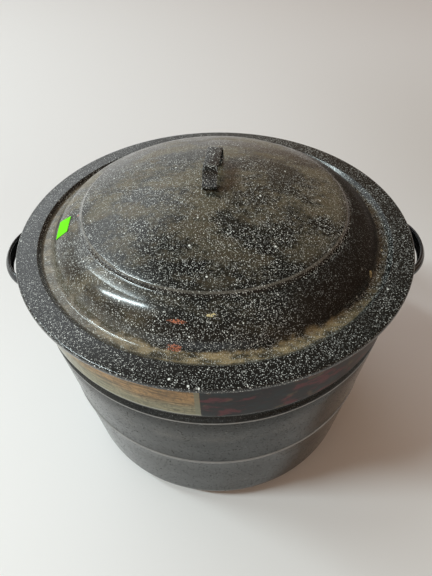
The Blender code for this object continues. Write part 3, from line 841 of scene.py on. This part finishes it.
def lid_strap(coat):
    """A bent strap with softened edges; its feet turn in and lie on the dome."""
    foot = STRAP_LENGTH / 2
    inner = foot - STRAP_FOOT
    seat = STRAP_SEAT + STRAP_THICKNESS
    half = [
        Vector((inner, 0, dome_height(inner) + seat)),
        Vector((foot, 0, dome_height(foot) + seat)),
        Vector((STRAP_TOP_LENGTH / 2, 0, STRAP_LIFT)),
    ]
    points = half + [Vector((-p.x, 0, p.z)) for p in reversed(half)]
    bend = (0, STRAP_FOOT_BEND, STRAP_CORNER)
    path = filleted(points, bend + bend[::-1], 12)
    steps = 4  # in each foot's flat part, whose tip is rounded in plan
    toe = [path[0].lerp(path[1], i / steps) for i in range(steps)]
    heel = [path[-2].lerp(path[-1], i / steps) for i in range(1, steps + 1)]
    path = toe + path[1:-1] + heel
    last = len(path) - 1
    half_width = STRAP_WIDTH / 2
    section = []
    for x, z, start in (
        (half_width, 0, -90),
        (half_width, STRAP_THICKNESS, 0),
        (-half_width, STRAP_THICKNESS, 90),
        (-half_width, 0, 180),
    ):
        centre_x = x - STRAP_EDGE * (1 if x > 0 else -1)
        centre_z = z + (STRAP_EDGE if z == 0 else -STRAP_EDGE)
        for a in (0, 30, 60, 90):
            angle = radians(start + a)
            section.append((centre_x + STRAP_EDGE * cos(angle), centre_z + STRAP_EDGE * sin(angle)))
    section.append(section[0])
    turn = Matrix.Rotation(STRAP_TURN, 3, AXIS)

    def place(row, column):
        along = (path[min(row + 1, last)] - path[max(row - 1, 0)]).normalized()
        outward = Vector((along.z, 0, -along.x))
        across, out = section[column]
        end = min(row, last - row) / steps
        if end < 1:
            across *= sqrt(1 - (1 - end) ** 2) * 0.45 + 0.55
        return turn @ (path[row] + outward * out + Vector((0, across, 0)))

    strap = swept(last, len(section) - 1, place)
    piece("lid_strap", strap, coat, "lid", ["lid_handle"])


LID_LINE = lid_line()


def lid_top(radius):
    """Height of the lid's upper face at this radius."""
    for here, there in zip(LID_LINE, LID_LINE[1:]):
        if here.x <= radius <= there.x:
            return here.z + (there.z - here.z) * (radius - here.x) / (there.x - here.x)
    return LID_RIM_TOP


STICKER_LENGTH = 20 * MM
STICKER_WIDTH = 15 * MM
STICKER_AZIMUTH = radians(190.5)
STICKER_TILT = radians(12)
STICKER_RADIUS = 135 * MM  # of its middle
STICKER_SLANT = 0.8  # of its width, what shows in plan on the slope
STICKER_THICKNESS = 0.15 * MM
STICKER_SEAT = 0.25 * MM
STICKER_CURL = 0.5 * MM  # at its corners
STICKER_CRUMPLE = 0.12 * MM


def sticker(coat):
    """A small square of paper stuck on the shoulder, its corners starting to lift."""
    along_steps, across_steps = 14, 10

    def place(row, column):
        outer = column <= across_steps
        along = row / along_steps - 0.5
        across = (column if outer else 2 * across_steps - column) / across_steps - 0.5
        reach = along * STICKER_LENGTH
        wide = across * STICKER_WIDTH
        tangent = reach * cos(STICKER_TILT) - wide * sin(STICKER_TILT)
        slant = reach * sin(STICKER_TILT) + wide * cos(STICKER_TILT)
        angle = STICKER_AZIMUTH + tangent / STICKER_RADIUS
        radius = STICKER_RADIUS + slant * STICKER_SLANT
        corner = abs(along) * abs(across) * 4
        crumple = noise.noise(Vector((reach * 160, wide * 160, 0))) * STICKER_CRUMPLE
        lift = STICKER_SEAT + (0 if outer else STICKER_THICKNESS) + STICKER_CURL * corner**2 + crumple
        return Vector((radius * cos(angle), radius * sin(angle), lid_top(radius) + lift))

    paper = swept(along_steps, 2 * across_steps, place)
    piece("sticker", paper, coat, "lid", ["price_sticker"], PAPER_SHARP)


# ---------------------------------------------------------------- jar rack
RING_WIRE = 2.0 * MM
FRAME_WIRE = 1.75 * MM
DIVIDER_INNER, DIVIDER_FOOT, DIVIDER_HEAD, DIVIDER_CORNER = 50 * MM, 142 * MM, 156 * MM, 5 * MM
BEAD = Vector((2.1 * MM, 2.1 * MM, 1.35 * MM))  # half of a weld bead's size each way
RINGS = ("rack_base_ring", "rack_floor_ring_1", "rack_floor_ring_2", "rack_hub_ring", "rack_top_ring")


def middle(node):
    """The middle of a CAD node's box."""
    low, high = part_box(node)
    return (low + high) / 2


def rack_ring(node, coat):
    """A ring of round wire, welded shut. Gives its radius and height."""
    low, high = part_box(node)
    radius = high.x - RING_WIRE
    height = middle(node).z
    steps = 120
    path = [
        Vector((radius * cos(a), radius * sin(a), height))
        for a in (2 * pi * i / steps for i in range(steps))
    ]
    wire = wire_mesh(path, RING_WIRE, True)
    piece(node.replace("rack", "wire"), wire, coat, "rack", [node])
    return radius, height


def divider(number, angle, coat):
    """A closed frame of wire, standing in a plane through the axis."""
    bottom = middle("rack_floor_bar_1").z
    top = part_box("rack_divider_2")[1].z - FRAME_WIRE * cos(pi / 6)
    corners = [
        Vector((DIVIDER_INNER, 0, bottom)),
        Vector((DIVIDER_FOOT, 0, bottom)),
        Vector((DIVIDER_HEAD, 0, top)),
        Vector((DIVIDER_INNER, 0, top)),
    ]
    turn = Matrix.Rotation(angle, 3, AXIS)
    path = [turn @ p for p in filleted(corners, [DIVIDER_CORNER] * 4, 7)]
    node = f"rack_divider_{number}"
    wire = wire_mesh(path, FRAME_WIRE, True)
    piece(f"wire_divider_{number}", wire, coat, "rack", [node])
    return bottom, top


def floor_bar(number, coat):
    """A straight wire under the middle jar. Gives its middle."""
    node = f"rack_floor_bar_{number}"
    low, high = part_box(node)
    place = middle(node)
    path = [Vector((low.x + (high.x - low.x) * i / 12, place.y, place.z)) for i in range(13)]
    piece(f"wire_floor_bar_{number}", wire_mesh(path, FRAME_WIRE), coat, "rack", [node])
    return place


BAIL_HALF_SPAN = 30 * MM
BAIL_LENGTH = 119.87 * MM
BAIL_LEAN = radians(3)
BAIL_CORNER = 4.5 * MM
BAIL_HOOK = 10 * MM
BAIL_HOOK_DROP = 12 * MM
EYE_CLEARANCE = 1.0 * MM
EYE_OPEN = radians(75)


def rack_bail(name, joint, side, coat):
    """A lifting handle: an eye round the top ring at each foot, and a hook at the top."""
    pivot = Vector(joint["pos_m"])
    eye = RING_WIRE + EYE_CLEARANCE + FRAME_WIRE
    start = pi / 2 + EYE_OPEN
    steps = 30
    loop = [
        Vector((eye * cos(a), BAIL_HALF_SPAN, eye * sin(a)))
        for a in (start + (2 * pi - EYE_OPEN) * i / steps for i in range(steps))
    ]
    leg = [
        Vector((0, BAIL_HALF_SPAN, eye)),
        Vector((0, BAIL_HALF_SPAN, BAIL_LENGTH)),
        Vector((BAIL_HOOK, BAIL_HALF_SPAN, BAIL_LENGTH)),
        Vector((BAIL_HOOK, BAIL_HALF_SPAN, BAIL_LENGTH - BAIL_HOOK_DROP)),
    ]
    far = Vector((1, -1, 1))
    corners = leg + [p * far for p in reversed(leg)]
    bend = (0, BAIL_CORNER, BAIL_CORNER, BAIL_CORNER)
    path = loop + filleted(corners, bend + bend[::-1], 8) + [p * far for p in reversed(loop)]
    turn = Matrix.Rotation(0 if side > 0 else pi, 3, AXIS) @ Matrix.Rotation(BAIL_LEAN, 3, "Y")
    path = [pivot + turn @ p for p in path]
    node = "rack_" + name
    piece(name, wire_mesh(path, FRAME_WIRE), coat, name, [node])


def weld_beads(places, coat):
    """The small melted beads where crossing wires are welded."""
    bm = bmesh.new()
    for place in places:
        grow = 1 + 0.2 * noise.noise(place * 900)
        size = Matrix.Diagonal((*(BEAD * grow), 1))
        bmesh.ops.create_icosphere(bm, subdivisions=2, radius=1, matrix=Matrix.Translation(place) @ size)
    piece("weld_beads", bm, coat, "rack")


def jar_rack(coat):
    """All the rack's wires, with a bead where each crosses another."""
    rings = {node: rack_ring(node, coat) for node in RINGS}
    beads = []
    for number in range(1, 7):
        angle = radians(60 * number - 30)
        bottom, top = divider(number, angle, coat)
        for node, (radius, height) in rings.items():
            frame_height = top if height > (bottom + top) / 2 else bottom
            beads.append(Vector((radius * cos(angle), radius * sin(angle), (height + frame_height) / 2)))
    ring_radius, ring_height = rings["rack_floor_ring_2"]
    for number in (1, 2):
        bar = floor_bar(number, coat)
        for side in (-1, 1):
            x = side * sqrt(ring_radius**2 - bar.y**2)
            beads.append(Vector((x, bar.y, (ring_height + bar.z) / 2)))
    weld_beads(beads, coat)
    joints = {joint["child"]: joint for joint in frame["joints"]}
    rack_bail("bail_right", joints["bail_right"], 1, coat)
    rack_bail("bail_left", joints["bail_left"], -1, coat)


# ---------------------------------------------------------------- stage, light and camera
FLOOR_HALF = 5  # metres from its middle to each edge
CAMERA_DISTANCE_BACK = 328.1 * MM  # from the kettle's axis, towards the viewer
CAMERA_ABOVE_LID = 249.5 * MM
CAMERA_DOWN = radians(46.03)
CAMERA_ROLL = radians(-1.32)
CAMERA_LENS = 27  # millimetres, on a 36 millimetre frame


def camera():
    """Looks down at the lid from the front, a little rolled."""
    data = bpy.data.cameras.new("camera")
    data.lens = CAMERA_LENS
    data.sensor_width = 36
    data.clip_start = 0.01
    obj = bpy.data.objects.new("camera", data)
    bpy.context.scene.collection.objects.link(obj)
    place = Matrix.Translation((0, -CAMERA_DISTANCE_BACK, LID_RIM_TOP + CAMERA_ABOVE_LID))
    tilt = Matrix.Rotation(pi / 2 - CAMERA_DOWN, 4, "X")
    obj.matrix_world = place @ tilt @ Matrix.Rotation(CAMERA_ROLL, 4, "Z")
    bpy.context.scene.camera = obj


STRIP_HEIGHT = 3.16
STRIP_WIDTH = 0.22
STRIP_COLOUR = (0.83, 0.97, 1.0)


def strip_light(name, start, end, watts):
    """A long soft strip overhead, from start to end in plan, facing the kettle."""
    start, end = Vector((*start, STRIP_HEIGHT)), Vector((*end, STRIP_HEIGHT))
    data = bpy.data.lights.new(name, "AREA")
    data.shape = "RECTANGLE"
    data.size = (end - start).length
    data.size_y = STRIP_WIDTH
    data.energy = watts
    data.color = STRIP_COLOUR
    obj = bpy.data.objects.new(name, data)
    bpy.context.scene.collection.objects.link(obj)
    centre = (start + end) / 2
    along = (end - start).normalized()
    away = centre - Vector((0, 0, LID_RIM_TOP))
    away = (away - along * away.dot(along)).normalized()
    turn = Matrix((along, away.cross(along), away)).transposed()
    obj.matrix_world = Matrix.Translation(centre) @ turn.to_4x4()


ROOM_GLOW = (0.42, 0.29, 0.20)
CEILING_GLOW = (0.22, 0.16, 0.125)
CORNER_GLOW = (0.22, 0.15, 0.105)
WALL_GLOW = (0.80, 0.80, 0.79)
LOW_GLOW = (1.25, 1.28, 1.30)
SIDE_GLOW = (1.75, 1.82, 1.86)


def room_light():
    """A warm dim room, bright on the left behind the kettle, with a bright low band round the front left."""
    world = bpy.data.worlds.new("room")
    world.use_nodes = True
    room = Nodes(world.node_tree)
    x, y, z = room.parts(room.node("ShaderNodeTexCoord", out="Generated"))  # the way it is seen
    side = x.rise(0.0, -0.35) * y.rise(0.15, 0.40) * z.band(0.52, 0.74, 0.14)
    wall = y.rise(0.15, 0.50) * z.rise(0.62, 0.40) * x.rise(0.35, -0.2)
    low = x.rise(0.55, -0.10) * y.rise(0.25, -0.15) * z.rise(0.36, 0.16)
    corner = x.rise(0.05, 0.45) * y.rise(-0.3, 0.2)
    colour = room.mix(z.rise(0.6, 0.95), ROOM_GLOW, CEILING_GLOW)
    for share, glow in ((corner, CORNER_GLOW), (wall, WALL_GLOW), (low, LOW_GLOW), (side, SIDE_GLOW)):
        colour = room.mix(share, colour, glow)
    background = room.node("ShaderNodeBackground", {"Color": colour, "Strength": 1.0})
    room.node("ShaderNodeOutputWorld", {0: background}, out=None)
    bpy.context.scene.world = world


def stage():
    """The ground, the room and the two strips."""
    bm = bmesh.new()
    bmesh.ops.create_grid(bm, x_segments=1, y_segments=1, size=FLOOR_HALF)
    mesh = bpy.data.meshes.new("floor")
    bm.to_mesh(mesh)
    bm.free()
    mesh.materials.append(floor_paper())
    obj = bpy.data.objects.new("floor", mesh)
    bpy.context.scene.collection.objects.link(obj)
    room_light()
    strip_light("back_strip", (-3.42, 1.45), (-1.61, -0.06), 46)
    strip_light("front_strip", (-4.14, -0.15), (-1.87, -0.80), 126)
    bpy.context.scene.view_settings.view_transform = "Standard"


# ---------------------------------------------------------------- the whole canner
camera()
stage()
kettle(kettle_enamel())
grip_coat = grip_enamel()
side_grip("grip_right", 1, grip_coat)
side_grip("grip_left", -1, grip_coat)
label(label_paper())
lid(lid_enamel())
lid_strap(strap_enamel())
sticker(sticker_paper())
jar_rack(plated_wire())
